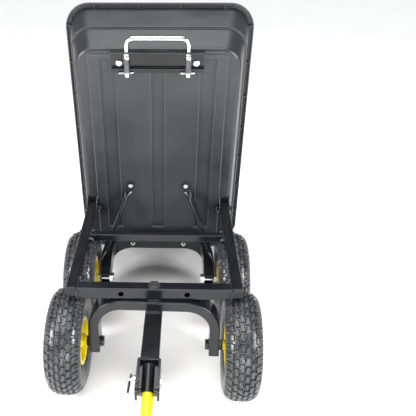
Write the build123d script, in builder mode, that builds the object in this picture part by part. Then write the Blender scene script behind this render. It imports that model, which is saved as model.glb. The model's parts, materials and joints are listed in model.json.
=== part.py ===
from build123d import *
from math import asin, cos, degrees, radians, sin, tan
import os

# A four-wheel garden dump cart that stands with its tub tipped up on its rear rim.
# Millimetres. X is across the cart, -Y is toward the pull handle, Z is up, the ground is Z = 0.
#
# The rear wheels belong to the tub and the front wheels to a steering arch. The frame between
# them hinges to the tub, so tipping the tub rolls the rear wheels forward under the frame.
# Each assembly is drawn level and straight, and finish() turns it to the way the cart stands.

# Stance at rest
TIP_ANGLE = 81.0          # tub against the level frame
STEER_ANGLE = -1.5        # front axle, turned a little toward -X

# Wheels
TYRE_RADIUS = 132.5
TYRE_HALF_WIDTH = 43.0
TYRE_WALL = 6.0
RIM_RADIUS = 60.5
BEAD_RADIUS = 53.0
RIM_HALF_WIDTH = 36.0
RIM_SHEET = 2.5
HUB_HALF_LENGTH = 37.0
HUB_RADIUS = 18.0
AXLE_RADIUS = 7.9
AXLE_BORE = 7.96
HALF_TRACK = 212.0

# Heights over the axles, and the pivot of the tub
PIVOT_RISE = 157.0
UNDERSIDE_RISE = 172.5
PIVOT_REACH = PIVOT_RISE * tan(radians(TIP_ANGLE / 2))

# Tub, measured forward of the rear axle
UNDER_FRONT = 619.0
UNDER_REAR = -30.0
UNDER_HALF = 212.0
UNDER_CORNER = 50.0
RIM_FRONT = 653.0
RIM_HALF = 269.0
RIM_CORNER = 70.0
TUB_DEPTH = 257.0
TUB_WALL = 4.5
LEDGE_LEVEL = 120.0
LEDGE = 5.0
LIP = 12.0
LIP_SHEET = 4.0
PAD_STEP = 7.0
EDGE_ROUND = 12.0

# Frame, measured forward of the pivot
RAIL = 25.0
RAIL_WALL = 1.6
RAIL_OUTER = 208.5
RAIL_REAR = -14.0
RAIL_FRONT = 420.0
BEAM = 30.0
BEAM_WALL = 2.0
BEAM_FRONT = 428.0
END_PLATE = 4.0
MID_TUBE = 20.0
MID_FRONT = 174.0
FRAME_BOLT = 4.0

# Arches that carry the axles
ARCH_DEPTH = 50.0
ARCH_SHEET = 25.0
ARCH_HALF = 146.5         # centre line of the legs
ARCH_BEND = 69.5
ARCH_WALL = 2.0
LEG_BELOW_AXLE = 16.0
REAR_LEG_BELOW_AXLE = 26.0
REAR_ARCH_FORWARD = 9.0
ARCH_BOLT_HALF = 77.5

# Latch
LATCH_HALF_SPAN = 77.5
LATCH_HOLE = 7.0
PIN_RADIUS = 5.8
BAR_FORWARD = 654.0
BAR_BEND = 20.0
PIN_TIP = 553.0
BRACKET_HALF = 118.0
BRACKET_FRONT = 621.0
BRACKET_REAR = 571.0
BRACKET_SHEET = 3.0
BRACKET_FLANGE = 25.0
BRACKET_BOLT_HALF = 97.5
BRACKET_BOLT_FORWARD = 585.4
SLEEVE_REAR = 566.5
SLEEVE_FRONT = 601.0
CLIP_WIRE = 1.2
CLIP_FORWARD = SLEEVE_REAR - CLIP_WIRE - 0.4

# Struts
STRUT_RADIUS = 8.0
STRUT_TAB = 4.0
STRUT_TAB_HALF = 13.0
STRUT_TOP_RUN = 20.0
STRUT_FOOT_RUN = 50.0
STRUT_TOP_HALF = 80.0
STRUT_TOP_FORWARD = 208.0

# Smaller fastenings
PIVOT_BOLT = 5.0
BUSH_RADIUS = 7.0
FRAME_BOLTS_FORWARD = (144.0, 184.0, 384.0)
RIM_BOLT_CIRCLE = 44.0
VALVE_OFFSET = 30.0

# Steering, measured forward of the king bolt
KING_RADIUS = 7.9
TONGUE_WIDTH = 40.0
TONGUE_HEIGHT = 25.0
TONGUE_REAR = -25.0
TONGUE_FRONT = 188.0
CLEVIS_SHEET = 5.0
CLEVIS_FRONT = 277.0
CLEVIS_HEIGHT = 44.0
CLEVIS_HALF = 25.0
HITCH_FORWARD = 229.0
HITCH_DROP = 60.0
HITCH_RADIUS = 6.0
WASHER = 1.5

# Handle, measured along the tube from the hitch pin
HANDLE_LENGTH = 720.0
HANDLE_RADIUS = 12.7
HANDLE_WALL = 1.5
GRIP_RADIUS = 14.0
GRIP_HALF = 52.0
GRIP_START = 580.0
SOCKET_BACK = 31.0
SOCKET_AHEAD = 32.0
SOCKET_RADIUS = 14.6

# Derived places
AXLE_Z = TYRE_RADIUS
PIVOT_Z = AXLE_Z + PIVOT_RISE
UNDER_Z = AXLE_Z + UNDERSIDE_RISE
SEAT_Z = UNDER_Z + PAD_STEP
RAIL_INNER = RAIL_OUTER - RAIL
BEAM_HALF = RAIL_INNER - END_PLATE
LEG_OUTER = ARCH_HALF + ARCH_SHEET / 2
LEG_INNER = ARCH_HALF - ARCH_SHEET / 2
HUB_INNER = HALF_TRACK - HUB_HALF_LENGTH
HUB_OUTER = HALF_TRACK + HUB_HALF_LENGTH
KING_Y = PIVOT_REACH - BEAM_FRONT + BEAM / 2
FRONT_BAR_Z = PIVOT_Z - BEAM / 2 - WASHER - ARCH_SHEET / 2
TONGUE_Z = FRONT_BAR_Z - ARCH_SHEET / 2 - TONGUE_HEIGHT / 2
HITCH_Y = KING_Y - HITCH_FORWARD
HITCH_Z = PIVOT_Z - HITCH_DROP
DROOP = degrees(asin((HITCH_Z - GRIP_RADIUS) / HANDLE_LENGTH))

# The skirt of the rear lip touches the ground when the tub is tipped
TIP = radians(TIP_ANGLE)
LIP_RISE = UNDERSIDE_RISE + TUB_DEPTH - LIP
RIM_REAR = -(AXLE_Z + LIP_RISE * cos(TIP)) / sin(TIP)

# The origin lies under the middle of the cart's length
STEER = radians(STEER_ANGLE)
TUB_BACK = (UNDERSIDE_RISE + TUB_DEPTH) * sin(TIP) - RIM_REAR * cos(TIP)
REACH = HITCH_FORWARD + HANDLE_LENGTH * cos(radians(DROOP))
GRIP_FRONT = -KING_Y + REACH * cos(STEER) + GRIP_HALF * abs(sin(STEER)) + GRIP_RADIUS
REAR_AXLE_Y = (GRIP_FRONT - TUB_BACK) / 2


def turned(point, angles):
    """A turn by three angles about a point."""
    back = tuple(-coordinate for coordinate in point)
    return Location(point, angles) * Location(back)


FRAME_STANCE = Location((0, REAR_AXLE_Y, 0))
TUB_STANCE = FRAME_STANCE * turned((0, 0, AXLE_Z), (-TIP_ANGLE, 0, 0))
FRONT_STANCE = FRAME_STANCE * turned((0, KING_Y, 0), (0, 0, STEER_ANGLE))
HANDLE_STANCE = FRONT_STANCE * turned((0, HITCH_Y, HITCH_Z), (DROOP, 0, 0))


def finish(piece, label, stance):
    """Stand a drawn piece in its place at rest, name it and write its file."""
    piece.part = stance * piece.part
    piece.part.label = label
    export_step(piece.part, f"parts/{label}.step")


def facing(x, y, z, direction):
    """A place whose own Z runs along a direction."""
    return Plane(origin=(x, y, z), z_dir=direction).location


def both_sides(x, y, z, direction):
    """The same place on the left and on the right, its direction mirrored too."""
    across, along, up = direction
    return facing(-x, y, z, (-across, along, up)), facing(x, y, z, direction)


# ---------------------------------------------------------------- fasteners

def hex_bolt(radius, length, grip, head=None):
    """A hexagon bolt and its nut along Z: the head sits on Z = 0, the nut ends the grip below."""
    head = head or radius * 1.2
    nut = radius * 1.6
    with BuildPart() as bolt:
        with BuildSketch(Plane.XY):
            RegularPolygon(radius * 1.85, 6)
        extrude(amount=head)
        chamfer(bolt.faces().sort_by(Axis.Z)[-1].edges(), radius * 0.15)
        with BuildSketch(Plane.XY.offset(-length)):
            Circle(radius)
        extrude(amount=length)
        chamfer(bolt.edges().group_by(Axis.Z)[0], radius * 0.2)
        with BuildSketch(Plane.XY.offset(-grip - nut)):
            RegularPolygon(radius * 1.85, 6)
        extrude(amount=nut)
    return bolt.part


def carriage_bolt(radius, length, grip):
    """A round-headed bolt and its nut along Z: the head sits on Z = 0, the nut ends the grip below."""
    head_radius = radius * 2.4
    head = radius * 1.2
    nut = radius * 1.6
    with BuildPart() as bolt:
        with BuildSketch(Plane.XY):
            Circle(head_radius)
        extrude(amount=head)
        fillet(bolt.edges().group_by(Axis.Z)[-1], head * 0.85)
        with BuildSketch(Plane.XY.offset(-length)):
            Circle(radius)
        extrude(amount=length)
        with BuildSketch(Plane.XY.offset(-grip - nut)):
            RegularPolygon(radius * 1.85, 6)
        extrude(amount=nut)
    return bolt.part


def ring(outer, inner, length):
    """A plain ring from Z = 0 up."""
    with BuildPart() as washer:
        with BuildSketch(Plane.XY):
            Circle(outer)
            Circle(inner, mode=Mode.SUBTRACT)
        extrude(amount=length)
    return washer.part


def placed(shape, places):
    """Copies of a shape as one piece with several solids."""
    with BuildPart() as group:
        with Locations(*places):
            add(shape)
    return group


def box_tube(plane, width, height, wall, length):
    """A rectangular tube that runs from a plane along its normal."""
    with BuildPart() as tube:
        with BuildSketch(plane):
            RectangleRounded(width, height, wall * 1.5)
            RectangleRounded(width - 2 * wall, height - 2 * wall, wall * 0.5, mode=Mode.SUBTRACT)
        extrude(amount=length)
    return tube.part


# ---------------------------------------------------------------- tub

def tub_outline(level, grow):
    """The tub's rounded outline at a level over its underside, grown outward."""
    share = level / TUB_DEPTH
    front = UNDER_FRONT + (RIM_FRONT - LIP - UNDER_FRONT) * share + grow
    rear = UNDER_REAR + (RIM_REAR + LIP - UNDER_REAR) * share - grow
    half = UNDER_HALF + (RIM_HALF - LIP - UNDER_HALF) * share + grow
    corner = UNDER_CORNER + (RIM_CORNER - LIP - UNDER_CORNER) * share + grow
    with Locations((0, -(front + rear) / 2)):
        RectangleRounded(2 * half, front - rear, corner)


def pad_outline(inset):
    """The raised pads of the underside, which leave long channels between them."""
    outer, strip, pad, groove = 180.0, 150.0, 110.0, 18.0
    rear, joined_rear, groove_end, front = -20.0, 50.0, 569.0, 606.0
    bridge, bridge_rear = 10.0, 592.0
    areas = [(-outer, outer, rear, joined_rear), (-pad, pad, groove_end, front)]
    areas += [(-outer, -strip, rear, front), (strip, outer, rear, front)]
    areas += [(-pad, -groove, rear, front), (groove, pad, rear, front)]
    areas.append((-strip - bridge, bridge - pad, bridge_rear, front))
    areas.append((pad - bridge, strip + bridge, bridge_rear, front))
    for left, right, back, ahead in areas:
        with Locations(((left + right) / 2, -(back + ahead) / 2)):
            Rectangle(right - left - 2 * inset, ahead - back - 2 * inset)


def gusset_outline():
    """Short webs under the lip, between the wall and the skirt."""
    thickness, length, pitch, first = 3.0, LIP - 1, 110.0, 70.0
    middle = LIP / 2 - 1.5
    front = -RIM_FRONT + LIP - middle
    rear = -RIM_REAR - LIP + middle
    side = RIM_HALF - LIP + middle
    for x in (-185, -60, 60, 185):
        with Locations((x, front), (x, rear)):
            Rectangle(thickness, length)
    for count in range(7):
        with Locations((-side, first - pitch * count), (side, first - pitch * count)):
            Rectangle(length, thickness)


def make_tub():
    """The moulded tub: two tiers with a ledge between them, raised pads below, a rolled lip on top."""
    ledge = UNDER_Z + LEDGE_LEVEL
    rim = UNDER_Z + TUB_DEPTH
    holes = [(x, REAR_ARCH_FORWARD) for x in (-ARCH_BOLT_HALF, ARCH_BOLT_HALF)]
    holes += [(x, STRUT_TOP_FORWARD) for x in (-STRUT_TOP_HALF, STRUT_TOP_HALF)]
    holes += [(x, BRACKET_BOLT_FORWARD) for x in (-BRACKET_BOLT_HALF, BRACKET_BOLT_HALF)]
    with BuildPart() as tub:
        with BuildSketch(Plane.XY.offset(SEAT_Z)):
            tub_outline(PAD_STEP, 0)
        with BuildSketch(Plane.XY.offset(ledge)):
            tub_outline(LEDGE_LEVEL, 0)
        loft()
        fillet(tub.edges().group_by(Axis.Z)[0], EDGE_ROUND)
        with BuildSketch(Plane.XY.offset(ledge)):
            tub_outline(LEDGE_LEVEL, LEDGE)
        with BuildSketch(Plane.XY.offset(rim)):
            tub_outline(TUB_DEPTH, 0)
        loft()
        # the lip is a flat flange with a skirt round its edge and webs behind the skirt
        with BuildSketch(Plane.XY.offset(rim - LIP_SHEET)):
            tub_outline(TUB_DEPTH, LIP)
        extrude(amount=LIP_SHEET)
        fillet(tub.faces().sort_by(Axis.Z)[-1].edges(), 2.5)
        with BuildSketch(Plane.XY.offset(rim - LIP)) as skirt:
            tub_outline(TUB_DEPTH, LIP)
            offset(skirt.sketch, amount=-LIP_SHEET, mode=Mode.SUBTRACT)
            gusset_outline()
        extrude(amount=LIP - LIP_SHEET)
        with BuildSketch(Plane.XY.offset(UNDER_Z)):
            pad_outline(0)
        extrude(amount=PAD_STEP + 1)
        chamfer(tub.edges().group_by(Axis.Z)[0], 2)
        # the inside follows the outside one wall away
        with BuildSketch(Plane.XY.offset(SEAT_Z + TUB_WALL)):
            tub_outline(PAD_STEP + TUB_WALL, -TUB_WALL)
        with BuildSketch(Plane.XY.offset(ledge + TUB_WALL)):
            tub_outline(LEDGE_LEVEL + TUB_WALL, -TUB_WALL)
        loft(mode=Mode.SUBTRACT)
        with BuildSketch(Plane.XY.offset(ledge + TUB_WALL)):
            tub_outline(LEDGE_LEVEL + TUB_WALL, LEDGE - TUB_WALL)
        with BuildSketch(Plane.XY.offset(rim)):
            tub_outline(TUB_DEPTH, -TUB_WALL)
        loft(mode=Mode.SUBTRACT)
        with BuildSketch(Plane.XY.offset(UNDER_Z + TUB_WALL)):
            pad_outline(TUB_WALL)
        extrude(amount=PAD_STEP + 1, mode=Mode.SUBTRACT)
        for x, forward in holes:
            with Locations((x, -forward, UNDER_Z)):
                Cylinder(4.2, 60, mode=Mode.SUBTRACT)
    return tub


# ---------------------------------------------------------------- latch

def make_latch_bracket():
    """A folded channel across the underside that carries the two latch pins."""
    lip_drop, lip_back = 13.5, 563.5
    sheet = BRACKET_SHEET
    outline = [
        (BRACKET_FRONT, 0), (BRACKET_FRONT, BRACKET_FLANGE), (BRACKET_FRONT - sheet, BRACKET_FLANGE),
        (BRACKET_FRONT - sheet, sheet), (BRACKET_REAR + sheet, sheet), (BRACKET_REAR + sheet, lip_drop),
        (lip_back, lip_drop), (lip_back, lip_drop - sheet), (BRACKET_REAR, lip_drop - sheet),
        (BRACKET_REAR, 0),
    ]
    with BuildPart() as bracket:
        with BuildSketch(Plane.YZ.offset(-BRACKET_HALF)):
            with BuildLine():
                Polyline(*[(-forward, UNDER_Z - drop) for forward, drop in outline], close=True)
            make_face()
        extrude(amount=2 * BRACKET_HALF)
        fillet(bracket.edges().filter_by(Axis.Y).group_by(Axis.Z)[0], 9)
        for x in (-LATCH_HALF_SPAN, LATCH_HALF_SPAN):
            # a round hole in the front flange, an open notch in the rear one
            with BuildSketch(Plane.XZ.offset(BRACKET_FRONT - sheet - 1)):
                with Locations((x, PIVOT_Z)):
                    Circle(PIN_RADIUS + 0.06)
            extrude(amount=sheet + 2, mode=Mode.SUBTRACT)
            with Locations((x, -BRACKET_REAR, UNDER_Z - sheet)):
                Box(17, 24, 14, align=(Align.CENTER, Align.CENTER, Align.MAX), mode=Mode.SUBTRACT)
        for x in (-BRACKET_BOLT_HALF, BRACKET_BOLT_HALF):
            with Locations((x, -BRACKET_BOLT_FORWARD, UNDER_Z)):
                Cylinder(4.2, 10, mode=Mode.SUBTRACT)
    return bracket


def make_latch_bar():
    """A round bar bent to a U: its middle is the finger pull, its ends are the latch pins."""
    with BuildPart() as bar:
        with BuildLine() as path:
            FilletPolyline(
                (-LATCH_HALF_SPAN, -PIN_TIP, PIVOT_Z), (-LATCH_HALF_SPAN, -BAR_FORWARD, PIVOT_Z),
                (LATCH_HALF_SPAN, -BAR_FORWARD, PIVOT_Z), (LATCH_HALF_SPAN, -PIN_TIP, PIVOT_Z),
                radius=BAR_BEND,
            )
        with BuildSketch(Plane(origin=(-LATCH_HALF_SPAN, -PIN_TIP, PIVOT_Z), z_dir=(0, -1, 0))):
            Circle(PIN_RADIUS)
        sweep(path=path.line)
        chamfer(bar.edges().group_by(Axis.Y)[-1], 1.5)
        with Locations(facing(0, -CLIP_FORWARD, PIVOT_Z, (1, 0, 0))):
            Cylinder(CLIP_WIRE + 0.1, 2 * LATCH_HALF_SPAN + 30, mode=Mode.SUBTRACT)
    return bar


def make_latch_springs():
    """A short coil spring round each pin, behind the front flange."""
    wire, coil = 1.1, 7.4
    start = SLEEVE_FRONT + wire + 0.1
    length = BRACKET_FRONT - BRACKET_SHEET - start - wire - 0.1
    with BuildPart() as spring:
        with BuildLine() as path:
            Helix(pitch=length / 4, height=length, radius=coil)
        with BuildSketch(Plane(origin=path.line @ 0, z_dir=path.line % 0)):
            Circle(wire)
        sweep(path=path.line, is_frenet=True)
    return placed(spring.part, both_sides(LATCH_HALF_SPAN, -start, PIVOT_Z, (0, -1, 0)))


def make_latch_clips():
    """Wire clips that hold the sleeves on the pins: a straight leg through the pin, a bowed leg round it."""
    wire, reach = CLIP_WIRE, 18.0
    bow = PIN_RADIUS + wire + 0.4
    with BuildPart() as clip:
        with BuildLine() as path:
            Line((reach, 0, 0), (-reach, 0, 0))
            ThreePointArc((-reach, 0, 0), (-reach - 3, -3, 0), (-reach, -6, 0))
            Spline(
                (-reach, -6, 0), (-4, -bow, 0), (4, -bow, 0), (reach * 0.8, -3, 0),
                tangents=[(1, 0, 0), (1, 0.5, 0)],
            )
        with BuildSketch(Plane(origin=(reach, 0, 0), z_dir=(-1, 0, 0))):
            Circle(wire)
        sweep(path=path.line, transition=Transition.ROUND)
    return placed(clip.part, [Plane.XZ.offset(CLIP_FORWARD).location * Location((x, PIVOT_Z, 0))
                              for x in (-LATCH_HALF_SPAN, LATCH_HALF_SPAN)])


# ---------------------------------------------------------------- arches, struts and axles

def make_arch(forward, axle_forward, bar_z, below_axle):
    """A rectangular tube bent to an arch, with an axle hole near the end of each leg."""
    leg_z = AXLE_Z - below_axle
    with BuildPart() as arch:
        with BuildLine() as path:
            FilletPolyline(
                (-ARCH_HALF, -forward, leg_z), (-ARCH_HALF, -forward, bar_z),
                (ARCH_HALF, -forward, bar_z), (ARCH_HALF, -forward, leg_z),
                radius=ARCH_BEND,
            )
        with BuildSketch(Plane(origin=(-ARCH_HALF, -forward, leg_z))):
            RectangleRounded(ARCH_SHEET, ARCH_DEPTH, 3)
            RectangleRounded(ARCH_SHEET - 2 * ARCH_WALL, ARCH_DEPTH - 2 * ARCH_WALL, 1, mode=Mode.SUBTRACT)
        sweep(path=path.line)
        with Locations(facing(0, -axle_forward, AXLE_Z, (1, 0, 0))):
            Cylinder(AXLE_RADIUS, 2 * LEG_OUTER + 10, mode=Mode.SUBTRACT)
    return arch


def make_rear_arch():
    """The tub's arch, drilled for the bolts that hold it under the tub."""
    bar_z = UNDER_Z - ARCH_SHEET / 2
    arch = make_arch(REAR_ARCH_FORWARD, 0, bar_z, REAR_LEG_BELOW_AXLE)
    with BuildPart() as drilled:
        add(arch.part)
        for x in (-ARCH_BOLT_HALF, ARCH_BOLT_HALF):
            with Locations((x, -REAR_ARCH_FORWARD, bar_z)):
                Cylinder(4.2, ARCH_SHEET + 2, mode=Mode.SUBTRACT)
    return drilled


def make_strut(side):
    """A round tube with flattened ends, from the underside down to the axle bolt."""
    tab = STRUT_TAB
    top = Vector(side * STRUT_TOP_HALF, -STRUT_TOP_FORWARD, UNDER_Z - tab / 2)
    foot = Vector(side * (LEG_OUTER + tab / 2 + 0.2), 0, AXLE_Z)
    along = foot - top
    top_run = Vector(along.X, along.Y, 0).normalized()
    foot_run = Vector(0, -along.Y, -along.Z).normalized()
    top_edge = top + top_run * STRUT_TOP_RUN
    foot_edge = foot + foot_run * STRUT_FOOT_RUN
    axis = (foot_edge - top_edge).normalized()
    top_end = top_edge + axis * 26
    foot_end = foot_edge - axis * 26
    top_plane = Plane(origin=top, x_dir=top_run, z_dir=(0, 0, 1))
    foot_plane = Plane(origin=foot, x_dir=foot_run, z_dir=(1, 0, 0))
    with BuildPart() as strut:
        for plane, run in ((top_plane, STRUT_TOP_RUN), (foot_plane, STRUT_FOOT_RUN)):
            with BuildSketch(plane.offset(-tab / 2)):
                Circle(STRUT_TAB_HALF)
                with Locations((run / 2 + 0.5, 0)):
                    Rectangle(run + 1, 2 * STRUT_TAB_HALF)
            extrude(amount=tab)
        across = Plane(origin=top_edge, x_dir=top_run.cross(Vector(0, 0, 1)), z_dir=top_run)
        with BuildSketch(across):
            Ellipse(STRUT_TAB_HALF, tab / 2)
        with BuildSketch(Plane(origin=top_end, x_dir=across.x_dir, z_dir=axis)):
            Circle(STRUT_RADIUS)
        loft()
        across = Plane(origin=foot_edge, x_dir=foot_run.cross(Vector(1, 0, 0)), z_dir=foot_run)
        with BuildSketch(across):
            Ellipse(STRUT_TAB_HALF, tab / 2)
        with BuildSketch(Plane(origin=foot_end, x_dir=across.x_dir, z_dir=-axis)):
            Circle(STRUT_RADIUS)
        loft()
        with BuildSketch(Plane(origin=top_end, x_dir=(0, 1, 0), z_dir=axis)):
            Circle(STRUT_RADIUS)
        extrude(amount=(foot_end - top_end).length)
        with Locations(top_plane.location):
            Cylinder(4.2, 10, mode=Mode.SUBTRACT)
        with Locations(foot_plane.location):
            Cylinder(AXLE_RADIUS, 10, mode=Mode.SUBTRACT)
    return strut


def make_axle_bolts(forward):
    """One bolt through each leg and wheel, its head inside the leg and its thread outboard."""
    head = 9.0
    with BuildPart() as bolt:
        with BuildSketch(Plane.XY.offset(LEG_INNER - head)):
            RegularPolygon(13.8, 6)
        extrude(amount=head)
        chamfer(bolt.faces().sort_by(Axis.Z)[0].edges(), 1)
        with BuildSketch(Plane.XY.offset(LEG_INNER)):
            Circle(AXLE_RADIUS)
        extrude(amount=HUB_OUTER + 16 - LEG_INNER)
        chamfer(bolt.faces().sort_by(Axis.Z)[-1].edges(), 1)
    return placed(bolt.part, both_sides(0, -forward, AXLE_Z, (1, 0, 0)))


def make_axle_nuts(forward, inboard):
    """A nut against each leg or strut and a nut and washer outside each hub."""
    nut, washer = 9.0, 1.6
    with BuildPart() as nuts:
        with BuildSketch(Plane.XY.offset(inboard)):
            RegularPolygon(13.8, 6)
        extrude(amount=nut)
        with BuildSketch(Plane.XY.offset(HUB_OUTER + 0.3)):
            Circle(15)
        extrude(amount=washer)
        with BuildSketch(Plane.XY.offset(HUB_OUTER + 0.3 + washer)):
            RegularPolygon(13.8, 6)
        extrude(amount=nut)
        with Locations((0, 0, HALF_TRACK)):
            Cylinder(AXLE_RADIUS, 200, mode=Mode.SUBTRACT)
    return placed(nuts.part, both_sides(0, -forward, AXLE_Z, (1, 0, 0)))


def make_axle_spacers(forward, inboard):
    """The spacing tube between each inner nut and its hub."""
    start = inboard + 9.0
    spacer = ring(12, AXLE_RADIUS, HUB_INNER - 0.3 - start)
    return placed(spacer, both_sides(start, -forward, AXLE_Z, (1, 0, 0)))


# ---------------------------------------------------------------- wheels, drawn along Z about the origin

def make_tyre():
    """A hollow pneumatic tyre with two grooves round its tread."""
    bead, wall = BEAD_RADIUS + 0.2, TYRE_WALL
    edge = RIM_HALF_WIDTH - RIM_SHEET - 0.3
    crown, shoulder = TYRE_RADIUS, TYRE_RADIUS - 7
    with BuildPart() as tyre:
        with BuildSketch(Plane.XZ):
            with BuildLine():
                Line((bead, edge), (bead + 9, edge))
                Spline(
                    (bead + 9, edge), (98, TYRE_HALF_WIDTH), (shoulder, 36), (crown, 0),
                    tangents=[(1, 0.5), (0, -1)],
                )
                Spline((crown, 0), (shoulder, -36), (98, -TYRE_HALF_WIDTH), (bead + 9, -edge),
                       tangents=[(0, -1), (-1, 0.5)])
                Line((bead + 9, -edge), (bead, -edge))
                Line((bead, -edge), (bead, -edge + 2 * wall))
                Line((bead, -edge + 2 * wall), (bead + 9, -edge + 1.4 * wall))
                Spline((bead + 9, -edge + 1.4 * wall), (97, -TYRE_HALF_WIDTH + wall),
                       (crown - 2 * wall, 0), (97, TYRE_HALF_WIDTH - wall), (bead + 9, edge - 1.4 * wall))
                Line((bead + 9, edge - 1.4 * wall), (bead, edge - 2 * wall))
                Line((bead, edge - 2 * wall), (bead, edge))
            make_face()
        revolve(axis=Axis.Z)
        for level in (-12, 12):
            with BuildSketch(Plane.XZ):
                with Locations((crown, level)):
                    Rectangle(9, 3)
            revolve(axis=Axis.Z, mode=Mode.SUBTRACT)
    return tyre.part


def make_rim():
    """Two pressed dishes back to back, with flanges that hold the beads."""
    sheet, half = RIM_SHEET, RIM_HALF_WIDTH
    seat, hub_level = BEAD_RADIUS, 12.0
    with BuildPart() as rim:
        with BuildSketch(Plane.XZ) as profile:
            with BuildLine():
                Polyline(
                    (HUB_RADIUS, hub_level), (30, hub_level), (37, 0), (seat - sheet, 0),
                    (seat - sheet, half), (RIM_RADIUS, half), (RIM_RADIUS, half - sheet),
                    (seat, half - sheet), (seat, 0), (seat, -sheet), (37 - sheet / 2, -sheet),
                    close=False,
                )
                Polyline((37 - sheet / 2, -sheet), (30 - sheet / 2, hub_level - sheet),
                         (HUB_RADIUS, hub_level - sheet), (HUB_RADIUS, hub_level))
            make_face()
            mirror(profile.sketch, about=Plane.XZ)
        revolve(axis=Axis.Z)
        with PolarLocations(RIM_BOLT_CIRCLE, 4):
            Cylinder(3.1, 40, mode=Mode.SUBTRACT)
        with Locations((VALVE_OFFSET, VALVE_OFFSET, 0)):
            Cylinder(3.3, 40, mode=Mode.SUBTRACT)
    return rim.part


def make_hub():
    """The hub barrel with the outer rings of its two bearings at its ends."""
    half, bearing, clear = HUB_HALF_LENGTH, 11.0, 0.04
    with BuildPart() as hub:
        with BuildSketch(Plane.XY.offset(-half + bearing)):
            Circle(HUB_RADIUS)
            Circle(HUB_RADIUS - 3, mode=Mode.SUBTRACT)
        extrude(amount=2 * (half - bearing))
        for start in (-half, half - bearing):
            with BuildSketch(Plane.XY.offset(start)):
                Circle(HUB_RADIUS)
                Circle(AXLE_BORE, mode=Mode.SUBTRACT)
            extrude(amount=bearing)
        for face, step in ((-half, 1), (half, -1)):
            with BuildSketch(Plane.XY.offset(face)):
                Circle(15.5)
                Circle(11.5, mode=Mode.SUBTRACT)
            extrude(amount=step * 1.2, mode=Mode.SUBTRACT)
    return hub.part


def make_valve():
    """A rubber valve stem with its cap, through the outboard dish."""
    with BuildPart() as valve:
        with BuildSketch(Plane.XZ):
            with BuildLine():
                Polyline((0, -9), (3.2, -9), (3.2, 0), (5, 0), (5, 2.5), (3.2, 3.5), (3.2, 14), (2.6, 16),
                         (2.6, 21), (3.2, 22), (3.2, 30), (2.2, 31), (0, 31), close=True)
            make_face()
        revolve(axis=Axis.Z)
    return valve.part


def make_wheels():
    """Each wheel's pieces, on its own axle."""
    tyre, rim, hub, valve = make_tyre(), make_rim(), make_hub(), make_valve()
    bolt = hex_bolt(3.0, 12, 5.2)
    stands = {"rear": (TUB_STANCE, 0), "front": (FRONT_STANCE, KING_Y)}
    for end, (stance, axle_y) in stands.items():
        for side, sign in (("left", -1), ("right", 1)):
            centre = Plane(origin=(sign * HALF_TRACK, axle_y, AXLE_Z), z_dir=(sign, 0, 0)).location
            name = f"{end}_{side}"
            finish(placed(tyre, [centre]), f"{name}_tyre", stance)
            finish(placed(rim, [centre]), f"{name}_rim", stance)
            finish(placed(hub, [centre]), f"{name}_hub", stance)
            bolts = [centre * Location((0, 0, 2.6)) * spot for spot in PolarLocations(RIM_BOLT_CIRCLE, 4)]
            finish(placed(bolt, bolts), f"{name}_rim_bolts", stance)
            finish(placed(valve, [centre * Location((VALVE_OFFSET, VALVE_OFFSET, 2.6))]), f"{name}_valve", stance)


# ---------------------------------------------------------------- frame, drawn in its place

def make_rail(side):
    """A side rail with a cross hole for its pivot bush and holes for the frame bolts."""
    start = PIVOT_REACH - RAIL_REAR
    centre_x = side * (RAIL_OUTER - RAIL / 2)
    tube = box_tube(
        Plane(origin=(centre_x, start, PIVOT_Z), x_dir=(1, 0, 0), z_dir=(0, -1, 0)),
        RAIL, RAIL, RAIL_WALL, RAIL_FRONT - RAIL_REAR,
    )
    with BuildPart() as rail:
        add(tube)
        with Locations(facing(centre_x, PIVOT_REACH, PIVOT_Z, (1, 0, 0))):
            Cylinder(BUSH_RADIUS, RAIL + 2, mode=Mode.SUBTRACT)
        for forward in FRAME_BOLTS_FORWARD:
            with Locations(facing(centre_x, PIVOT_REACH - forward, PIVOT_Z, (1, 0, 0))):
                Cylinder(FRAME_BOLT + 0.2, RAIL + 2, mode=Mode.SUBTRACT)
        # the rear end is rounded so that it clears the tub as the frame swings
        rear_ends = rail.edges().filter_by(Axis.X).group_by(Axis.Y)[-1]
        fillet([rear_ends.sort_by(Axis.Z)[0], rear_ends.sort_by(Axis.Z)[-1]], 1.2)
    return rail


def make_rail_caps():
    """A moulded plug in both ends of each rail."""
    inside = RAIL - 2 * RAIL_WALL - 0.2
    with BuildPart() as cap:
        with BuildSketch(Plane.XY.offset(-5)):
            RectangleRounded(inside, inside, 1)
        extrude(amount=5)
        with BuildSketch(Plane.XY):
            RectangleRounded(RAIL, RAIL, 3)
        extrude(amount=1.4, taper=20)
    places = [
        facing(side * (RAIL_OUTER - RAIL / 2), PIVOT_REACH - forward, PIVOT_Z, (0, direction, 0))
        for side in (-1, 1)
        for forward, direction in ((RAIL_REAR, 1), (RAIL_FRONT, -1))
    ]
    return placed(cap.part, places)


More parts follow.
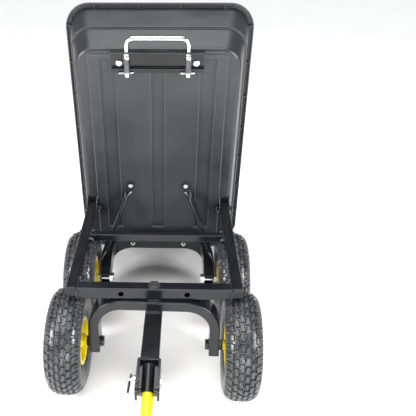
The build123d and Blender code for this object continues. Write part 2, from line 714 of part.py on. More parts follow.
def make_front_crossmember():
    """A square tube with welded end plates, two latch holes in its face and the king bolt's hole."""
    tube = box_tube(
        Plane(origin=(-BEAM_HALF - 1, KING_Y, PIVOT_Z), z_dir=(1, 0, 0)),
        BEAM, BEAM, BEAM_WALL, 2 * BEAM_HALF + 2,
    )
    drop, top, front, rear, corner = 20.0, 12.0, 433.0, 372.0, 15.0
    with BuildPart() as member:
        add(tube)
        for start in (-RAIL_INNER + 0.05, BEAM_HALF):
            with BuildSketch(Plane.YZ.offset(start)):
                with Locations((PIVOT_REACH - (front + rear) / 2, PIVOT_Z + (top - drop) / 2)):
                    Rectangle(front - rear, top + drop)
            extrude(amount=END_PLATE - 0.05)
        low_corners = member.edges().filter_by(Axis.X).group_by(Axis.Z)[0]
        fillet(low_corners, corner)
        for x in (-LATCH_HALF_SPAN, LATCH_HALF_SPAN):
            with BuildSketch(Plane.XZ.offset(BEAM_FRONT - PIVOT_REACH - BEAM_WALL - 1)):
                with Locations((x, PIVOT_Z)):
                    Circle(LATCH_HOLE)
            extrude(amount=BEAM_WALL + 2, mode=Mode.SUBTRACT)
        with Locations((0, KING_Y, PIVOT_Z)):
            Cylinder(KING_RADIUS, BEAM + 2, mode=Mode.SUBTRACT)
        for forward in FRAME_BOLTS_FORWARD[2:]:
            with Locations(facing(0, PIVOT_REACH - forward, PIVOT_Z, (1, 0, 0))):
                Cylinder(FRAME_BOLT + 0.2, 2 * RAIL_OUTER, mode=Mode.SUBTRACT)
    return member


def make_mid_crossmember():
    """A smaller square tube with a flange at each end, bolted between the rails."""
    flange, length = 3.0, 62.0
    half = RAIL_INNER - flange
    centre = PIVOT_REACH - MID_FRONT + MID_TUBE / 2
    tube = box_tube(
        Plane(origin=(-half, centre, PIVOT_Z), z_dir=(1, 0, 0)), MID_TUBE, MID_TUBE, RAIL_WALL, 2 * half,
    )
    with BuildPart() as member:
        add(tube)
        for start in (-RAIL_INNER + 0.05, half):
            with BuildSketch(Plane.YZ.offset(start)):
                with Locations((centre, PIVOT_Z)):
                    RectangleRounded(length, MID_TUBE + 2, 5)
            extrude(amount=flange - 0.05)
        for forward in FRAME_BOLTS_FORWARD[:2]:
            with Locations(facing(0, PIVOT_REACH - forward, PIVOT_Z, (1, 0, 0))):
                Cylinder(FRAME_BOLT + 0.2, 2 * RAIL_OUTER, mode=Mode.SUBTRACT)
    return member


def make_frame_bolts():
    """Bolts through the rails into the crossmembers' end plates."""
    grip = RAIL + END_PLATE
    bolt = hex_bolt(FRAME_BOLT, grip + 10, grip, head=4.5)
    places = []
    for forward in FRAME_BOLTS_FORWARD:
        places += both_sides(RAIL_OUTER, PIVOT_REACH - forward, PIVOT_Z, (1, 0, 0))
    return placed(bolt, places)


def make_pivot_bracket(side):
    """A folded saddle under the tub with an ear on each side of the rail."""
    ear, gap, base = 3.0, 0.2, 3.0
    length, reach = 58.0, 15.0
    inner = RAIL_INNER - gap - ear
    outer = RAIL_OUTER + gap + ear
    centre_x = side * (inner + outer) / 2
    with BuildPart() as bracket:
        with BuildSketch(Plane.XY.offset(SEAT_Z - base)):
            with Locations((centre_x, -PIVOT_REACH)):
                Rectangle(outer - inner, length)
        extrude(amount=base)
        for start in (inner, outer - ear):
            left = start if side > 0 else -start - ear
            with BuildSketch(Plane.YZ.offset(left)):
                with Locations((-PIVOT_REACH, PIVOT_Z)):
                    Circle(reach)
                with BuildLine():
                    Polyline(
                        (-PIVOT_REACH - reach, PIVOT_Z), (-PIVOT_REACH + reach, PIVOT_Z),
                        (-PIVOT_REACH + length / 2, SEAT_Z), (-PIVOT_REACH - length / 2, SEAT_Z),
                        close=True,
                    )
                make_face()
            extrude(amount=ear)
        with Locations(facing(centre_x, -PIVOT_REACH, PIVOT_Z, (1, 0, 0))):
            Cylinder(PIVOT_BOLT, 60, mode=Mode.SUBTRACT)
    return bracket


def make_pivot_bolts():
    """The hinge bolts of the tub, heads outboard."""
    grip = RAIL + 2 * 3.2
    bolt = hex_bolt(PIVOT_BOLT, grip + 11, grip, head=6)
    return placed(bolt, both_sides(RAIL_OUTER + 3.2, -PIVOT_REACH, PIVOT_Z, (1, 0, 0)))


def make_pivot_bushes():
    """Bushes through the rails that turn on the hinge bolts."""
    bush = ring(BUSH_RADIUS, PIVOT_BOLT + 0.05, RAIL)
    return placed(bush, both_sides(RAIL_INNER, PIVOT_REACH, PIVOT_Z, (1, 0, 0)))


# ---------------------------------------------------------------- steering

def make_king_bolt():
    """The steering bolt, with a low head that fits the tub's centre channel."""
    grip = 1.0 + BEAM + WASHER + ARCH_SHEET + 0.1
    bolt = hex_bolt(KING_RADIUS, grip + 14, grip, head=4.6)
    with BuildPart() as king:
        with Locations((0, KING_Y, PIVOT_Z + BEAM / 2 + 1.0)):
            add(bolt)
    return king


def make_king_washers():
    """The thrust washer between crossmember and arch, and the washer under the head."""
    with BuildPart() as washers:
        with BuildSketch(Plane.XY.offset(PIVOT_Z - BEAM / 2 - WASHER)):
            with Locations((0, KING_Y)):
                Circle(20)
                Circle(KING_RADIUS, mode=Mode.SUBTRACT)
        extrude(amount=WASHER)
        with BuildSketch(Plane.XY.offset(PIVOT_Z + BEAM / 2)):
            with Locations((0, KING_Y)):
                Circle(15)
                Circle(KING_RADIUS, mode=Mode.SUBTRACT)
        extrude(amount=1.0)
    return washers


def make_front_arch():
    """The steering arch: its bar turns on the king bolt under the crossmember."""
    arch = make_arch(-KING_Y, -KING_Y, FRONT_BAR_Z, LEG_BELOW_AXLE)
    with BuildPart() as turning:
        add(arch.part)
        with Locations((0, KING_Y, FRONT_BAR_Z)):
            Cylinder(KING_RADIUS + 0.06, ARCH_SHEET + 2, mode=Mode.SUBTRACT)
    return turning


def make_tongue():
    """The flat tube welded under the arch's bar, with a gusset plate up the bar's face."""
    tube = box_tube(
        Plane(origin=(0, KING_Y - TONGUE_REAR, TONGUE_Z), x_dir=(1, 0, 0), z_dir=(0, -1, 0)),
        TONGUE_WIDTH, TONGUE_HEIGHT, ARCH_WALL, TONGUE_FRONT - TONGUE_REAR,
    )
    plate, plate_half = 3.0, 18.0
    with BuildPart() as tongue:
        add(tube)
        with BuildSketch(Plane.XZ.offset(ARCH_DEPTH / 2 - KING_Y)):
            with Locations((0, FRONT_BAR_Z)):
                Rectangle(2 * plate_half, ARCH_SHEET - 1)
        extrude(amount=plate)
        with BuildSketch(Plane.XY.offset(TONGUE_Z + TONGUE_HEIGHT / 2 - 0.5)):
            with Locations((0, KING_Y - ARCH_DEPTH / 2 - plate)):
                Rectangle(2 * plate_half, 2 * plate)
        extrude(amount=3)
        with Locations((0, KING_Y, TONGUE_Z + TONGUE_HEIGHT / 2)):
            Cylinder(16, 2 * ARCH_WALL + 6, mode=Mode.SUBTRACT)
    return tongue


def make_clevis():
    """A folded channel welded to the tongue's end, with an ear on each side of the handle."""
    sheet = CLEVIS_SHEET
    inner = CLEVIS_HALF - sheet
    top = PIVOT_Z - 36
    length = CLEVIS_FRONT - TONGUE_FRONT
    with BuildPart() as clevis:
        with BuildSketch(Plane.XY.offset(top - CLEVIS_HEIGHT)):
            with Locations((0, KING_Y - TONGUE_FRONT - length / 2)):
                Rectangle(2 * CLEVIS_HALF, length)
            with Locations((0, KING_Y - TONGUE_FRONT - sheet - length / 2)):
                Rectangle(2 * inner, length, mode=Mode.SUBTRACT)
        extrude(amount=CLEVIS_HEIGHT)
        uprights = clevis.edges().filter_by(Axis.Z).group_by(Axis.Y)[-1]
        fillet(uprights, 4)
        noses = clevis.edges().filter_by(Axis.X).group_by(Axis.Y)[0]
        fillet(noses, 17)
        with Locations(facing(0, HITCH_Y, HITCH_Z, (1, 0, 0))):
            Cylinder(HITCH_RADIUS + 0.06, 2 * CLEVIS_HALF + 4, mode=Mode.SUBTRACT)
    return clevis


def make_hitch_pin():
    """The pull-out hitch pin with a collar outside the left ear."""
    collar, tail = 7.0, 6.5
    with BuildPart() as pin:
        with BuildSketch(Plane.YZ.offset(-CLEVIS_HALF - collar - 6)):
            with Locations((HITCH_Y, HITCH_Z)):
                Circle(HITCH_RADIUS)
        extrude(amount=2 * CLEVIS_HALF + collar + 6 + tail)
        chamfer(pin.edges().group_by(Axis.X)[-1], 1)
        with BuildSketch(Plane.YZ.offset(-CLEVIS_HALF - collar - 0.3)):
            with Locations((HITCH_Y, HITCH_Z)):
                Circle(9)
        extrude(amount=collar)
        with Locations((CLEVIS_HALF + 3.4, HITCH_Y, HITCH_Z)):
            Cylinder(1.2, 20, mode=Mode.SUBTRACT)
    return pin


def make_hitch_handle():
    """The bent wire pull of the hitch pin, hooked over its outer end."""
    wire, run = 2.4, 36.0
    x = -CLEVIS_HALF - 7 - 3.3
    with BuildPart() as pull:
        with BuildLine() as path:
            FilletPolyline(
                (x, HITCH_Y, HITCH_Z + HITCH_RADIUS + 8), (x - 3, HITCH_Y, HITCH_Z),
                (x - 4, HITCH_Y - run, HITCH_Z), radius=6,
            )
        with BuildSketch(Plane(origin=path.line @ 0, z_dir=path.line % 0)):
            Circle(wire)
        sweep(path=path.line)
        with Locations(facing(x, HITCH_Y, HITCH_Z, (1, 0, 0))):
            Cylinder(HITCH_RADIUS, 20, mode=Mode.SUBTRACT)
    return pull


def make_hitch_clip():
    """The wire clip through the hitch pin's tail."""
    wire = 1.1
    x = CLEVIS_HALF + 3.4
    with BuildPart() as clip:
        with BuildLine() as path:
            FilletPolyline(
                (x, HITCH_Y, HITCH_Z + 10), (x, HITCH_Y, HITCH_Z - 22),
                (x, HITCH_Y + 9, HITCH_Z - 22), (x, HITCH_Y + 9, HITCH_Z + 4), radius=4,
            )
        with BuildSketch(Plane(origin=path.line @ 0, z_dir=path.line % 0)):
            Circle(wire)
        sweep(path=path.line)
    return clip


# ---------------------------------------------------------------- handle, drawn straight ahead

def along_handle(distance):
    """A plane across the handle at a distance from the hitch pin, facing along it."""
    return Plane(origin=(0, HITCH_Y - distance, HITCH_Z), x_dir=(1, 0, 0), z_dir=(0, -1, 0))


def make_handle_tube():
    """The straight tube from the hitch pin into the grip."""
    with BuildPart() as tube:
        with BuildSketch(along_handle(-SOCKET_BACK)):
            Circle(HANDLE_RADIUS)
            Circle(HANDLE_RADIUS - HANDLE_WALL, mode=Mode.SUBTRACT)
        extrude(amount=GRIP_START + 45 + SOCKET_BACK)
        with Locations(facing(0, HITCH_Y, HITCH_Z, (1, 0, 0))):
            Cylinder(HITCH_RADIUS + 0.08, 60, mode=Mode.SUBTRACT)
    return tube


def make_handle_socket():
    """A steel sleeve over the tube's end, between two cheek plates that fill the clevis."""
    cheek_outer, cheek_inner = CLEVIS_HALF - CLEVIS_SHEET - 0.5, HANDLE_RADIUS + 0.3
    with BuildPart() as socket:
        with BuildSketch(along_handle(-SOCKET_BACK)):
            Circle(SOCKET_RADIUS)
            Circle(HANDLE_RADIUS, mode=Mode.SUBTRACT)
        extrude(amount=SOCKET_BACK + SOCKET_AHEAD)
        for start in (-cheek_outer, cheek_inner):
            with BuildSketch(Plane.YZ.offset(start)):
                with Locations((HITCH_Y - (SOCKET_AHEAD - SOCKET_BACK) / 2, HITCH_Z)):
                    RectangleRounded(SOCKET_BACK + SOCKET_AHEAD, 2 * SOCKET_RADIUS, 9)
            extrude(amount=cheek_outer - cheek_inner)
        with Locations(facing(0, HITCH_Y, HITCH_Z, (1, 0, 0))):
            Cylinder(HITCH_RADIUS + 0.08, 60, mode=Mode.SUBTRACT)
    return socket


def make_handle_grip():
    """A moulded grip: a collar on the tube that opens into a loop for the hand."""
    bar = HITCH_Y - HANDLE_LENGTH
    root = HITCH_Y - GRIP_START - 42
    with BuildPart() as grip:
        with BuildSketch(along_handle(GRIP_START)):
            Circle(HANDLE_RADIUS + 4.3)
        extrude(amount=50)
        fillet(grip.edges().group_by(Axis.Y)[-1], 2)
        with BuildLine() as path:
            FilletPolyline(
                (-8, root, HITCH_Z), (-GRIP_HALF, root - 32, HITCH_Z), (-GRIP_HALF, bar, HITCH_Z),
                (GRIP_HALF, bar, HITCH_Z), (GRIP_HALF, root - 32, HITCH_Z), (8, root, HITCH_Z), radius=18,
            )
        with BuildSketch(Plane(origin=path.line @ 0, z_dir=path.line % 0)):
            Circle(GRIP_RADIUS)
        sweep(path=path.line)
        with BuildSketch(along_handle(GRIP_START - 1)):
            Circle(HANDLE_RADIUS)
        extrude(amount=46, mode=Mode.SUBTRACT)
    return grip


def main():
    os.makedirs("parts", exist_ok=True)
    strut_inboard = LEG_OUTER + STRUT_TAB + 0.4

    finish(make_tub(), "tub", TUB_STANCE)
    finish(make_latch_bracket(), "latch_bracket", TUB_STANCE)
    bracket_bolt = carriage_bolt(4.0, 24, 3 + TUB_WALL)
    finish(
        placed(bracket_bolt, [
            facing(x, -BRACKET_BOLT_FORWARD, UNDER_Z - BRACKET_SHEET, (0, 0, -1))
            for x in (-BRACKET_BOLT_HALF, BRACKET_BOLT_HALF)
        ]),
        "latch_bracket_bolts", TUB_STANCE,
    )
    finish(make_latch_bar(), "latch_bar", TUB_STANCE)
    sleeve = ring(7.5, PIN_RADIUS + 0.05, SLEEVE_FRONT - SLEEVE_REAR)
    finish(placed(sleeve, both_sides(LATCH_HALF_SPAN, -SLEEVE_REAR, PIVOT_Z, (0, -1, 0))),
           "latch_sleeves", TUB_STANCE)
    finish(make_latch_springs(), "latch_springs", TUB_STANCE)
    finish(make_latch_clips(), "latch_clips", TUB_STANCE)

    finish(make_rear_arch(), "rear_arch", TUB_STANCE)
    arch_bolt = hex_bolt(4.0, ARCH_SHEET + 17, ARCH_SHEET + TUB_WALL + 0.6)
    finish(
        placed(arch_bolt, [
            facing(x, -REAR_ARCH_FORWARD, UNDER_Z + TUB_WALL, (0, 0, 1))
            for x in (-ARCH_BOLT_HALF, ARCH_BOLT_HALF)
        ]),
        "arch_bolts", TUB_STANCE,
    )
    finish(make_strut(-1), "left_strut", TUB_STANCE)
    finish(make_strut(1), "right_strut", TUB_STANCE)
    strut_bolt = hex_bolt(4.0, 22, STRUT_TAB + TUB_WALL)
    finish(
        placed(strut_bolt, [
            facing(x, -STRUT_TOP_FORWARD, UNDER_Z - STRUT_TAB, (0, 0, -1))
            for x in (-STRUT_TOP_HALF, STRUT_TOP_HALF)
        ]),
        "strut_bolts", TUB_STANCE,
    )
    finish(make_pivot_bracket(-1), "left_pivot_bracket", TUB_STANCE)
    finish(make_pivot_bracket(1), "right_pivot_bracket", TUB_STANCE)
    finish(make_pivot_bolts(), "pivot_bolts", TUB_STANCE)
    finish(make_axle_bolts(0), "rear_axle_bolts", TUB_STANCE)
    finish(make_axle_nuts(0, strut_inboard), "rear_axle_nuts", TUB_STANCE)
    finish(make_axle_spacers(0, strut_inboard), "rear_axle_spacers", TUB_STANCE)

    finish(make_rail(-1), "left_rail", FRAME_STANCE)
    finish(make_rail(1), "right_rail", FRAME_STANCE)
    finish(make_rail_caps(), "rail_caps", FRAME_STANCE)
    finish(make_front_crossmember(), "front_crossmember", FRAME_STANCE)
    finish(make_mid_crossmember(), "mid_crossmember", FRAME_STANCE)
    finish(make_frame_bolts(), "frame_bolts", FRAME_STANCE)
    finish(make_pivot_bushes(), "pivot_bushes", FRAME_STANCE)
    finish(make_king_bolt(), "king_bolt", FRAME_STANCE)
    finish(make_king_washers(), "king_washers", FRAME_STANCE)

    finish(make_front_arch(), "front_arch", FRONT_STANCE)
    finish(make_tongue(), "tongue", FRONT_STANCE)
    finish(make_clevis(), "clevis", FRONT_STANCE)
    finish(make_axle_bolts(-KING_Y), "front_axle_bolts", FRONT_STANCE)
    finish(make_axle_nuts(-KING_Y, LEG_OUTER), "front_axle_nuts", FRONT_STANCE)
    finish(make_axle_spacers(-KING_Y, LEG_OUTER), "front_axle_spacers", FRONT_STANCE)
    finish(make_hitch_pin(), "hitch_pin", FRONT_STANCE)
    finish(make_hitch_handle(), "hitch_pin_pull", FRONT_STANCE)
    finish(make_hitch_clip(), "hitch_clip", FRONT_STANCE)

    finish(make_handle_tube(), "handle_tube", HANDLE_STANCE)
    finish(make_handle_socket(), "handle_socket", HANDLE_STANCE)
    finish(make_handle_grip(), "handle_grip", HANDLE_STANCE)

    make_wheels()


main()
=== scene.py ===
"""Looks of the garden dump cart: materials, treaded tyres, weld beads, floor, lights and camera."""

import json
import math

import bpy
from mathutils import Matrix, Vector


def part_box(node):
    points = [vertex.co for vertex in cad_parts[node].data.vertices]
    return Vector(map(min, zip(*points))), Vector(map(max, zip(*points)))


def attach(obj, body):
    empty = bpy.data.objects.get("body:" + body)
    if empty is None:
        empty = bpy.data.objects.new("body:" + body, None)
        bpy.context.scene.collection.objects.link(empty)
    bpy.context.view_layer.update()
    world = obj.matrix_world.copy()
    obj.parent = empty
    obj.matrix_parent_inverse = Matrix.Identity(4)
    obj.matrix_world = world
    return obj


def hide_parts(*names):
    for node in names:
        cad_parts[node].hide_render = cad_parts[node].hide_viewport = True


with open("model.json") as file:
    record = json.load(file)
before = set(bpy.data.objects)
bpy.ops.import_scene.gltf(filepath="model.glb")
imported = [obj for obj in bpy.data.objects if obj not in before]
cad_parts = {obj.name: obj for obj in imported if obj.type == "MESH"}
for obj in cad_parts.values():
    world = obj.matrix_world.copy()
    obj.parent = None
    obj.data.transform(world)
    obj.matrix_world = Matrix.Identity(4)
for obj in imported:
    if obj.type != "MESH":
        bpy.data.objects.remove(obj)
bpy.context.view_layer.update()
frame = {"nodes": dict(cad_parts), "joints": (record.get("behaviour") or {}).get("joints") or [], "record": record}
nodes = frame["nodes"]
joints = {joint["name"]: joint for joint in frame["joints"]}
WHEELS = ("rear_left", "rear_right", "front_left", "front_right")
KING_Y = joints["steering"]["pos_m"][1]


# ---------------------------------------------------------------- material helpers

class Finish:
    """A node material under construction: one Principled shader fed by procedural textures."""

    def __init__(self, name, color, roughness, metallic=0.0, specular=0.5, coat=0.0):
        self.material = bpy.data.materials.new(name)
        self.material.use_nodes = True
        self.tree = self.material.node_tree
        self.shader = self.tree.nodes["Principled BSDF"]
        self.shader.inputs["Base Color"].default_value = (*color, 1)
        self.shader.inputs["Roughness"].default_value = roughness
        self.shader.inputs["Metallic"].default_value = metallic
        self.shader.inputs["Specular IOR Level"].default_value = specular
        self.shader.inputs["Coat Weight"].default_value = coat
        self.place = self.tree.nodes.new("ShaderNodeTexCoord").outputs["Object"]
        self.normal = None

    def link(self, output, socket):
        self.tree.links.new(output, socket)

    def stretched(self, scale):
        """Object coordinates scaled along each axis."""
        mapping = self.tree.nodes.new("ShaderNodeMapping")
        mapping.inputs["Scale"].default_value = scale
        self.link(self.place, mapping.inputs["Vector"])
        return mapping.outputs["Vector"]

    def noise(self, scale, detail=4.0, roughness=0.55, stretch=(1, 1, 1)):
        node = self.tree.nodes.new("ShaderNodeTexNoise")
        node.inputs["Scale"].default_value = scale
        node.inputs["Detail"].default_value = detail
        node.inputs["Roughness"].default_value = roughness
        self.link(self.stretched(stretch), node.inputs["Vector"])
        return node.outputs["Fac"]

    def cells(self, scale, stretch=(1, 1, 1)):
        node = self.tree.nodes.new("ShaderNodeTexVoronoi")
        node.inputs["Scale"].default_value = scale
        self.link(self.stretched(stretch), node.inputs["Vector"])
        return node.outputs["Distance"]

    def ramp(self, value, stops):
        """A value turned into a colour; stops are (position, colour)."""
        node = self.tree.nodes.new("ShaderNodeValToRGB")
        elements = node.color_ramp.elements
        while len(elements) < len(stops):
            elements.new(0.5)
        for element, (position, color) in zip(elements, stops):
            element.position = position
            element.color = (*color, 1)
        self.link(value, node.inputs["Fac"])
        return node.outputs["Color"]

    def spread(self, value, low, high, start=0.3, end=0.7):
        """A value stretched from one range to another."""
        node = self.tree.nodes.new("ShaderNodeMapRange")
        for socket, number in zip(("From Min", "From Max", "To Min", "To Max"), (start, end, low, high)):
            node.inputs[socket].default_value = number
        self.link(value, node.inputs["Value"])
        return node.outputs["Result"]

    def mixed(self, factor, first, second):
        node = self.tree.nodes.new("ShaderNodeMix")
        node.data_type = "RGBA"
        for socket, value in ((node.inputs[0], factor), (node.inputs[6], first), (node.inputs[7], second)):
            if isinstance(value, tuple):
                socket.default_value = (*value, 1)
            else:
                self.link(value, socket)
        return node.outputs[2]

    def bump(self, height, strength, distance):
        node = self.tree.nodes.new("ShaderNodeBump")
        node.inputs["Strength"].default_value = strength
        node.inputs["Distance"].default_value = distance
        self.link(height, node.inputs["Height"])
        if self.normal:
            self.link(self.normal, node.inputs["Normal"])
        self.normal = node.outputs["Normal"]
        self.link(self.normal, self.shader.inputs["Normal"])

    def color(self, output):
        self.link(output, self.shader.inputs["Base Color"])

    def roughness(self, output):
        self.link(output, self.shader.inputs["Roughness"])

    def relief(self, start, end):
        """How far a finely meshed surface turns here: above a half on crests, below it in grooves."""
        geometry = self.tree.nodes.new("ShaderNodeNewGeometry")
        return self.spread(geometry.outputs["Pointiness"], 0.0, 1.0, start, end)

    def soften(self, radius):
        """Rounds every corner by a radius, and returns 1 along the corners and 0 away from them."""
        bevel = self.tree.nodes.new("ShaderNodeBevel")
        bevel.samples = 6
        bevel.inputs["Radius"].default_value = radius
        self.normal = bevel.outputs["Normal"]
        self.link(self.normal, self.shader.inputs["Normal"])
        geometry = self.tree.nodes.new("ShaderNodeNewGeometry")
        facing = self.tree.nodes.new("ShaderNodeVectorMath")
        facing.operation = "DOT_PRODUCT"
        self.link(self.normal, facing.inputs[0])
        self.link(geometry.outputs["Normal"], facing.inputs[1])
        return self.spread(facing.outputs["Value"], 0.0, 1.0, 0.99, 0.90)


def polyethylene():
    finish = Finish("black_polyethylene", (0.02, 0.022, 0.026), 0.34, specular=0.5)
    blotches = finish.noise(9, 5)
    scuffs = finish.noise(30, 6, 0.7, stretch=(6.0, 0.5, 0.5))
    base = finish.ramp(blotches, [(0.3, (0.013, 0.015, 0.018)), (0.7, (0.025, 0.028, 0.032))])
    worn = finish.mixed(finish.soften(0.0016), base, (0.15, 0.16, 0.175))
    dust = finish.spread(scuffs, 0.0, 0.25, 0.56, 0.8)
    finish.color(finish.mixed(dust, worn, (0.055, 0.06, 0.065)))
    finish.roughness(finish.spread(blotches, 0.28, 0.42))
    finish.bump(finish.cells(900), 0.10, 0.0006)
    finish.bump(finish.noise(60, 3), 0.08, 0.002)
    return finish.material


def powder_coat():
    finish = Finish("black_powder_coat", (0.006, 0.007, 0.009), 0.2, specular=0.42)
    blotches = finish.noise(14, 4)
    base = finish.ramp(blotches, [(0.3, (0.004, 0.005, 0.007)), (0.7, (0.009, 0.010, 0.012))])
    finish.color(finish.mixed(finish.soften(0.0011), base, (0.09, 0.094, 0.105)))
    finish.roughness(finish.spread(blotches, 0.13, 0.22))
    finish.bump(finish.noise(420, 2), 0.14, 0.0003)
    return finish.material


def zinc():
    finish = Finish("zinc_plate", (0.80, 0.81, 0.82), 0.2, metallic=1.0)
    patches = finish.noise(120, 4)
    finish.color(finish.ramp(patches, [(0.3, (0.68, 0.70, 0.72)), (0.7, (0.90, 0.90, 0.89))]))
    finish.roughness(finish.spread(patches, 0.12, 0.28))
    finish.bump(finish.noise(900, 2), 0.05, 0.0003)
    return finish.material


def dark_steel():
    finish = Finish("dark_steel", (0.10, 0.10, 0.11), 0.3, metallic=0.7)
    patches = finish.noise(150, 4)
    finish.color(finish.ramp(patches, [(0.3, (0.05, 0.05, 0.055)), (0.7, (0.13, 0.13, 0.14))]))
    finish.roughness(finish.spread(patches, 0.24, 0.40))
    finish.bump(finish.noise(800, 2), 0.06, 0.0003)
    return finish.material


def enamel():
    finish = Finish("yellow_enamel", (0.93, 0.74, 0.01), 0.25, specular=0.5, coat=0.4)
    blotches = finish.noise(25, 4)
    base = finish.ramp(blotches, [(0.3, (0.90, 0.68, 0.006)), (0.7, (0.95, 0.80, 0.012))])
    specks = finish.spread(finish.noise(260, 5, 0.7), 0.0, 0.35, 0.66, 0.75)
    finish.color(finish.mixed(specks, base, (0.55, 0.38, 0.02)))
    finish.roughness(finish.spread(blotches, 0.2, 0.32))
    finish.bump(finish.noise(500, 2), 0.06, 0.0004)
    return finish.material


def rubber():
    finish = Finish("tyre_rubber", (0.05, 0.053, 0.058), 0.4, specular=0.6)
    dusty = finish.noise(45, 6, 0.65)
    base = finish.ramp(dusty, [(0.3, (0.015, 0.017, 0.020)), (0.7, (0.060, 0.065, 0.069))])
    specks = finish.spread(finish.noise(300, 5, 0.75), 0.0, 0.6, 0.56, 0.72)
    powdered = finish.mixed(specks, base, (0.15, 0.15, 0.15))
    # Painted shade: the grooves between the tread blocks are darkened to near black.
    grooves = finish.relief(0.495, 0.455)
    painted_groove_shade = finish.mixed(grooves, powdered, (0.003, 0.003, 0.004))
    # The crests of the tread are lightened.
    finish.color(finish.mixed(finish.relief(0.53, 0.58), painted_groove_shade, (0.16, 0.164, 0.168)))
    finish.roughness(finish.spread(dusty, 0.20, 0.42))
    finish.bump(finish.noise(350, 4), 0.16, 0.0004)
    return finish.material


def moulded_plastic():
    finish = Finish("grip_plastic", (0.03, 0.03, 0.033), 0.5, specular=0.4)
    blotches = finish.noise(60, 4)
    finish.color(finish.ramp(blotches, [(0.3, (0.012, 0.012, 0.014)), (0.7, (0.026, 0.026, 0.029))]))
    finish.roughness(finish.spread(blotches, 0.42, 0.58))
    finish.bump(finish.cells(1300), 0.3, 0.0005)
    return finish.material


def valve_rubber():
    finish = Finish("valve_rubber", (0.02, 0.02, 0.02), 0.55, specular=0.35)
    blotches = finish.noise(200, 3)
    finish.color(finish.ramp(blotches, [(0.3, (0.014, 0.014, 0.014)), (0.7, (0.030, 0.030, 0.030))]))
    finish.bump(finish.noise(900, 3), 0.1, 0.0003)
    return finish.material


def floor_finish():
    finish = Finish("pale_floor", (0.90, 0.90, 0.90), 0.8, specular=0.1)
    finish.color(finish.ramp(finish.noise(2, 3), [(0.3, (0.89, 0.89, 0.89)), (0.7, (0.92, 0.92, 0.92))]))
    return finish.material


MATERIALS = {
    "black_polyethylene": polyethylene(),
    "black_powder_coat": powder_coat(),
    "zinc_plate": zinc(),
    "dark_steel": dark_steel(),
    "yellow_enamel": enamel(),
    "tyre_rubber": rubber(),
    "grip_plastic": moulded_plastic(),
    "valve_rubber": valve_rubber(),
}


def dress_frame():
    """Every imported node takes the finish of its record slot."""
    for entry in frame["record"]["subparts"]:
        mesh = nodes[entry["node"]].data
        mesh.materials.clear()
        mesh.materials.append(MATERIALS[entry["material_slot"]])


def add_piece(name, mesh, slot):
    """A new piece with the finish of a slot."""
    piece = bpy.data.objects.new(name, mesh)
    bpy.context.scene.collection.objects.link(piece)
    mesh.materials.append(MATERIALS[slot])
    return piece


# ---------------------------------------------------------------- tyres

TYRE_RADIUS = 0.1325
SECTION_RADIUS = 0.098      # radius where the tyre is widest
HALF_WIDTH = 0.043
CHAFER_RADIUS = 0.0590
BEAD_SEAT = 0.030           # half the distance between the beads
BEAD_TUCK = 0.002           # how far the section runs in below the chafer
CROWN_POWER = 2.5           # squareness of the section above its widest point
WALL_POWER = 2.2            # and below it
CROWN_LEAN = 0.8            # how far relief on the crown points straight out
SECTION_SAMPLES = 4000
PITCHES = 36                # tread blocks round the tyre
STEPS = 18                  # mesh columns in one pitch
ROW = 0.0128                # width of a row of blocks
ROWS = 2                    # rows of blocks each side of the centre
LUG_END = 0.047             # where the shoulder lugs stop
LUG_FADE = 0.003            # over which they run out
LUG_SLANT = 6               # pitches that a lug leans round per metre across
SIPE_START = 0.036          # where the narrow cut in each lug begins
SIPE_DEPTH = 0.6
FINE_MARGIN = 0.006         # fine mesh beyond the lugs
EDGE_WAVE = 0.0008          # waviness of the grooves round the tyre
BLOCK_ROUND = 0.0014        # extra gap at the corners of the blocks
GROOVE = 0.0046
TREAD_STEP = 0.00105        # spacing of the section's points across the tread
WALL_STEP = 0.0030
SECTION_END = math.pi - 0.42
SIDEWALL_RINGS = (          # radius along the section, half width, height
    (0.0560, 0.0006, 0.0006),
    (0.0640, 0.0005, 0.0005),
    (0.0860, 0.0014, 0.0010),
)
RING_SLOPE = 0.0012
SHARP_EDGE = math.radians(40)
SPIN_START, SPIN_STEP = 0.1, 0.4    # how far each wheel has rolled, so that no two tyres stand alike


def section_point(angle):
    """Across and radial place on the tyre's outline; 0 is the crown, a right angle the widest point."""
    side = math.copysign(1, angle)
    turn = abs(angle)
    if turn <= math.pi / 2:
        power, height = 2 / CROWN_POWER, TYRE_RADIUS - SECTION_RADIUS
    else:
        power, height = 2 / WALL_POWER, SECTION_RADIUS - CHAFER_RADIUS + BEAD_TUCK
    across = HALF_WIDTH * math.sin(turn) ** power
    up = math.copysign(abs(math.cos(turn)) ** power, math.cos(turn)) * height
    return side * across, SECTION_RADIUS + up


def section_outline():
    """The section from bead to bead as (across, radius, arc length), denser across the tread."""
    angles = [SECTION_END * index / SECTION_SAMPLES for index in range(SECTION_SAMPLES + 1)]
    places = [section_point(angle) for angle in angles]
    outline, arc, last = [(*places[0], 0.0)], 0.0, 0.0
    for before, place in zip(places, places[1:]):
        arc += math.dist(before, place)
        if arc - last >= (TREAD_STEP if arc < LUG_END + FINE_MARGIN else WALL_STEP):
            outline.append((*place, arc))
            last = arc
    mirrored = [(-across, radius, -arc) for across, radius, arc in reversed(outline[1:])]
    return mirrored + outline


def trench(distance, half, slope=0.0010):
    """1 inside a groove, 0 outside it, with sloping walls."""
    return min(1.0, max(0.0, 1 - (abs(distance) - half) / slope))


